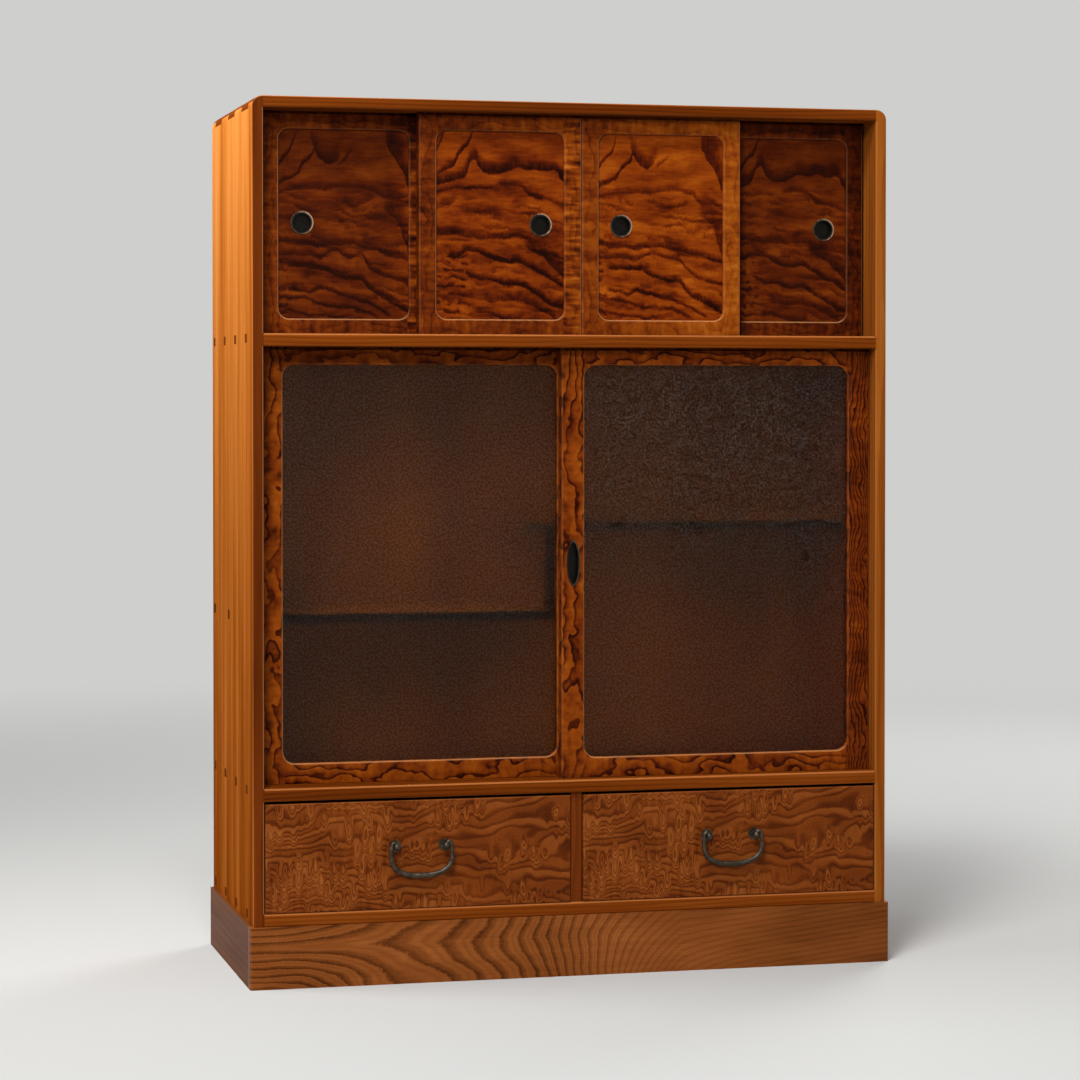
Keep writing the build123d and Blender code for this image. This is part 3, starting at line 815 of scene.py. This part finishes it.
def dress(material, *names):
    """Gives CAD nodes a material in place of their own."""
    for name in names:
        slots = nodes[name].data.materials
        slots.clear()
        slots.append(material)


def dress_case():
    """Ash on all that shows of the case: sides, rails, shelves and back."""
    outer_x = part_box("right_side_panel")[1].x
    for side, edge in (("left", front_edge), ("right", bright_edge)):
        # outside: paler colours, partly painted light on the sides
        outside = (outer_x, honey)
        panel = straight_wood(f"{side}_side_ash", axis_z, edge, side_rings, side_trim, outside, no_gloss)
        dress(panel, f"{side}_side_panel")
    post = straight_wood("post_ash", axis_z, front_edge, post_rings, post_trim)
    dress(post, "drawer_divider_post")
    rail = straight_wood("rail_ash", axis_x, case_tones, rail_rings, rail_trim, gloss=no_gloss)
    dress(rail, "top_panel", "upper_track_rail", "lower_track_rail", "bottom_rail")
    shelf = straight_wood("shelf_ash", axis_x, case_tones, shelf_rings, rail_trim, gloss=no_gloss)
    dress(shelf, "upper_shelf_board", "lower_shelf_board", "bottom_board")
    tenons = (outer_x, tenon_tones)
    # the step shelves' front edges are painted dark as shade
    step = straight_wood("step_ash", axis_y, inner_tones, shelf_rings, step_edge_shade, tenons, no_gloss)
    dress(step, "step_shelf_left", "step_shelf_right", "step_shelf_strut")
    low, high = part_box("back_boards")
    boards = (low.x, (high.x - low.x) / back_board_count)
    inner = straight_wood("inner_wood_up", axis_z, inner_tones, wide_rings, inner_trim, boards=boards)
    dress(inner, "back_boards")


def dress_hidden_wood():
    """Plain pale wood inside the drawers and behind the plinth."""
    plain_x = straight_wood("plain_wood_across", axis_x, plain_tones, plain_rings, plain_trim)
    dress(plain_x, "plinth_back", "drawer_left_back", "drawer_right_back")
    plain_y = straight_wood("plain_wood_back", axis_y, plain_tones, plain_rings, plain_trim)
    dress(plain_y, "drawer_partition", "drawer_left_sides", "drawer_right_sides", "drawer_stops")
    dress(plain_y, "drawer_left_bottom", "drawer_right_bottom")
    plain_z = straight_wood("plain_wood_up", axis_z, plain_tones, wide_rings, plain_trim)
    dress(plain_z, "plinth_corner_blocks")


def dress_plinth():
    """The plinth's bold front and its duller sides."""
    dress(plinth_wood("plinth_ash"), "plinth_front")
    side = straight_wood(
        "plinth_side_ash", axis_y, plinth_side_tones, plain_rings, inner_trim, gloss=plinth_side_gloss
    )
    dress(side, "plinth_sides")


def dress_upper_doors():
    """Figured panels in quiet frames: doors 1 and 3 share one veneer, 2 and 4 the other."""
    for number, (panel_shade, frame_shade, lean) in door_shades.items():
        door = f"upper_door_{number}"
        veneer = odd_veneer if number in (1, 3) else even_veneer
        dress(panel_wood(f"figured_panel_{number}", veneer, panel_shade), f"{door}_panel")
        low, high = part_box(f"{door}_stiles")
        middle = (low.x + high.x) / 2
        shade = (frame_shade, middle, lean)
        bands = (middle, high.x) if number in (1, 2) else None
        dress(frame_wood(f"stiles_{number}", axis_z, quiet_lines, shade, bands), f"{door}_stiles")
        dress(frame_wood(f"rails_{number}", axis_x, quiet_lines, shade), f"{door}_rails")


def dress_glass_doors():
    """Boldly lined frames round textured panes."""
    rails = frame_wood("glass_rails", axis_x, bold_lines, even_shade)
    glass = textured_glass()
    for side in sides:
        door = f"glass_door_{side}"
        low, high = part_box(f"{door}_stiles")
        dense = ((low.x + high.x) / 2, high.x) if side == "right" else None
        stiles = frame_wood(f"glass_stiles_{side}", axis_z, bold_lines, even_shade, None, dense)
        dress(stiles, f"{door}_stiles", f"{door}_beads")
        dress(rails, f"{door}_rails")
        dress(glass, f"{door}_pane")


def dress_drawers(metal):
    """Figured drawer fronts, and the posts of their handles."""
    for side in sides:
        front = f"drawer_{side}_front"
        dress(drawer_wood(f"drawer_ash_{side}", front), front)
        dress(metal, f"handle_{side}_posts")


def dress_pulls():
    """Bronze with a worn rim and a painted highlight on the round pulls, darker bronze on the oval one."""
    round_pulls = [f"upper_door_{number}_pull" for number in door_shades]
    dress(bronze("round_bronze", *round_bronze), *round_pulls)
    dress(bronze("oval_bronze", *oval_bronze), "glass_door_right_pull")


def forge_bail(side, metal):
    """A bail drawn out as a smith does: slim curled ends, and a thicker bow at the bottom."""
    node = f"handle_{side}_bail"
    joint = next(joint for joint in frame["joints"] if joint["name"] == f"bail_{side}_swing")
    middle, y, z = joint["pos_m"]
    curve = bpy.data.curves.new(f"forged_bail_{side}", "CURVE")
    curve.dimensions = "3D"
    curve.bevel_depth = 1.0
    curve.bevel_resolution = bail_roundness
    curve.use_fill_caps = True
    curve.resolution_u = bail_smoothness
    left = [(-across, up, thickness) for across, up, thickness in bail_half]
    route = left + list(reversed(bail_half))
    spline = curve.splines.new("NURBS")
    spline.points.add(len(route) - 1)
    for point, (across, up, thickness) in zip(spline.points, route):
        point.co = (middle + across, y, z + up, 1.0)
        point.radius = thickness
    spline.order_u = cubic_order
    spline.use_endpoint_u = True
    bail = bpy.data.objects.new(f"forged_bail_{side}", curve)
    bpy.context.scene.collection.objects.link(bail)
    curve.materials.append(metal)
    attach(bail, f"bail_{side}")
    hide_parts(node)


dress_case()
dress_hidden_wood()
dress_plinth()
dress_upper_doors()
dress_glass_doors()
dress_pulls()
dark_iron = iron()
dress_drawers(dark_iron)
for bail_side in sides:
    forge_bail(bail_side, dark_iron)


# Studio


def area_lamp(name, place, size, power):
    """A round soft lamp that points at the middle of the cabinet."""
    lamp = bpy.data.lights.new(name, "AREA")
    lamp.shape = "DISK"
    lamp.size = size
    lamp.energy = power
    holder = bpy.data.objects.new(name, lamp)
    bpy.context.scene.collection.objects.link(holder)
    holder.location = place
    middle = (cad_box[0] + cad_box[1]) / 2
    holder.rotation_euler = (middle - holder.location).to_track_quat("-Z", "Y").to_euler()


def light_world():
    """Even pale light, and a pale backdrop where a ray sees the world itself."""
    world = bpy.data.worlds.new("studio")
    bpy.context.scene.world = world
    world.use_nodes = True
    tree = world.node_tree
    tree.nodes.clear()
    light = tree.nodes.new("ShaderNodeBackground")
    light.inputs["Strength"].default_value = world_light
    seen = tree.nodes.new("ShaderNodeBackground")
    seen.inputs["Color"].default_value = tone(pale_backdrop)
    path = tree.nodes.new("ShaderNodeLightPath")
    direct = Term(tree, path.outputs["Is Camera Ray"])
    direct = direct.most(Term(tree, path.outputs["Is Glossy Ray"]))
    direct = direct.most(Term(tree, path.outputs["Is Transmission Ray"]))
    choose = tree.nodes.new("ShaderNodeMixShader")
    plug(tree, choose.inputs[0], direct)
    tree.links.new(light.outputs[0], choose.inputs[1])
    tree.links.new(seen.outputs[0], choose.inputs[2])
    output = tree.nodes.new("ShaderNodeOutputWorld")
    tree.links.new(choose.outputs[0], output.inputs["Surface"])


def lay_floor():
    """A pale round floor that fades into the backdrop."""
    bpy.ops.mesh.primitive_circle_add(vertices=floor_corners, radius=floor_radius, fill_type="NGON")
    floor = bpy.context.object
    floor.name = "floor"
    finish = Finish("pale_floor")
    place = finish.place()
    x, y, _ = place
    distance = (x * x + y * y).root()
    flecks = finish.even_waves(place, 60) * 0.1 + 0.05
    matt = finish.node("BsdfDiffuse")
    plug(finish.tree, matt.inputs["Color"], finish.mix(flecks, pale_floor, floor_fleck))
    clear = finish.node("BsdfTransparent")
    fading = finish.node("MixShader")
    plug(finish.tree, fading.inputs[0], finish.rise(distance, *floor_fade))
    finish.tree.links.new(matt.outputs[0], fading.inputs[1])
    finish.tree.links.new(clear.outputs[0], fading.inputs[2])
    floor.data.materials.append(finish.shown(fading))


def set_camera():
    """The photograph's camera."""
    lens = bpy.data.cameras.new("camera")
    lens.lens = camera_lens
    lens.shift_y = camera_shift
    camera = bpy.data.objects.new("camera", lens)
    bpy.context.scene.collection.objects.link(camera)
    camera.location = camera_place
    camera.rotation_euler = (radians(90 + camera_pitch), 0.0, radians(-camera_yaw))
    bpy.context.scene.camera = camera


light_world()
for lamp_values in lamps:
    area_lamp(*lamp_values)
lay_floor()
set_camera()
bpy.context.scene.view_settings.view_transform = "Standard"
